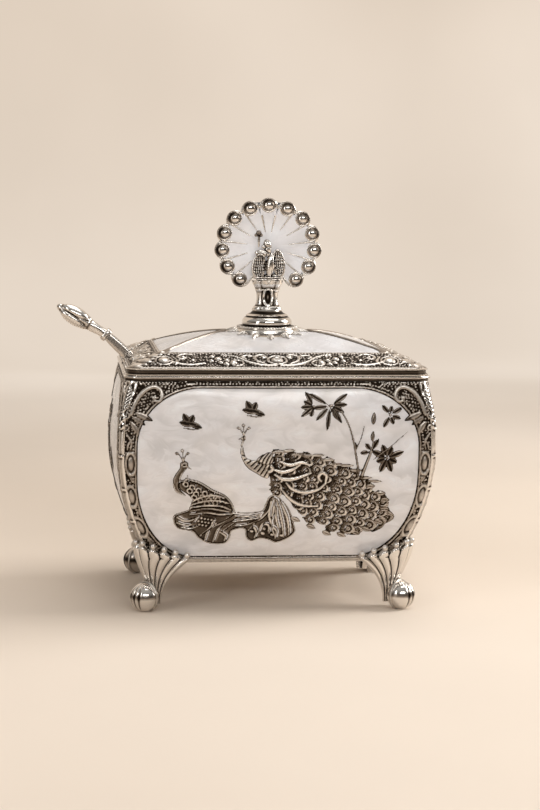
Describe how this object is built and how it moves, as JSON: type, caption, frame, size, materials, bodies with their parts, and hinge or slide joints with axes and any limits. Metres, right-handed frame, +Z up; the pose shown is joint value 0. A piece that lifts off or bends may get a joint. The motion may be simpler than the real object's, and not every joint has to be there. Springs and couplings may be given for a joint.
{
  "type": "lidded sugar box",
  "caption": "Footed rectangular sweet or sugar box with enamelled bowed walls, ball feet, a lift-off lid with a fan finial, and a spoon through a notch.",
  "frame": {"origin": "on the ground under the middle of the whole part's bounding box, spoon included", "axes": "+X runs along the length to the right, seen from the front; +Y runs from the front wall to the back wall; +Z points up. The spoon leans out on the -X side."},
  "size_m": [0.1544, 0.0994, 0.1658],
  "materials": {
    "silver": "antiqued silver plate over cast zinc alloy, dark in the recesses",
    "enamel": "glossy pearl resin enamel with grey streaks",
    "screw": "plain zinc-plated steel",
    "spoon_silver": "antiqued silver plate, polished bowl"
  },
  "bodies": {
    "body": {"front_wall": "silver", "right_wall": "silver", "back_wall": "silver", "left_wall": "silver", "corner_post_front_left": "silver", "corner_post_front_right": "silver", "corner_post_back_left": "silver", "corner_post_back_right": "silver", "rim_frame": "silver", "base_plate": "silver", "leg_front_left": "silver", "leg_front_right": "silver", "leg_back_left": "silver", "leg_back_right": "silver", "front_enamel": "enamel", "right_enamel": "enamel", "back_enamel": "enamel", "left_enamel": "enamel", "leg_screw_front_left": "screw", "leg_screw_front_right": "screw", "leg_screw_back_left": "screw", "leg_screw_back_right": "screw"},
    "lid": {"lid_shell": "silver", "finial_base": "silver", "finial_stem": "silver", "fan_frame": "silver", "peacock_figure": "silver", "fan_enamel": "enamel", "finial_screw": "screw", "lid_enamel_front": "enamel", "lid_enamel_right": "enamel", "lid_enamel_back": "enamel", "lid_enamel_left": "enamel"},
    "spoon": {"spoon": "spoon_silver"}
  },
  "joints": [
    {"name": "lid_lift", "type": "slide", "parent": "body", "child": "lid", "axis": [0, 0, 1], "range_m": [0, 0.09]},
    {"name": "spoon_draw", "type": "slide", "parent": "body", "child": "spoon", "axis": [-0.7314, 0, 0.682], "range_m": [0, 0.012]}
  ]
}
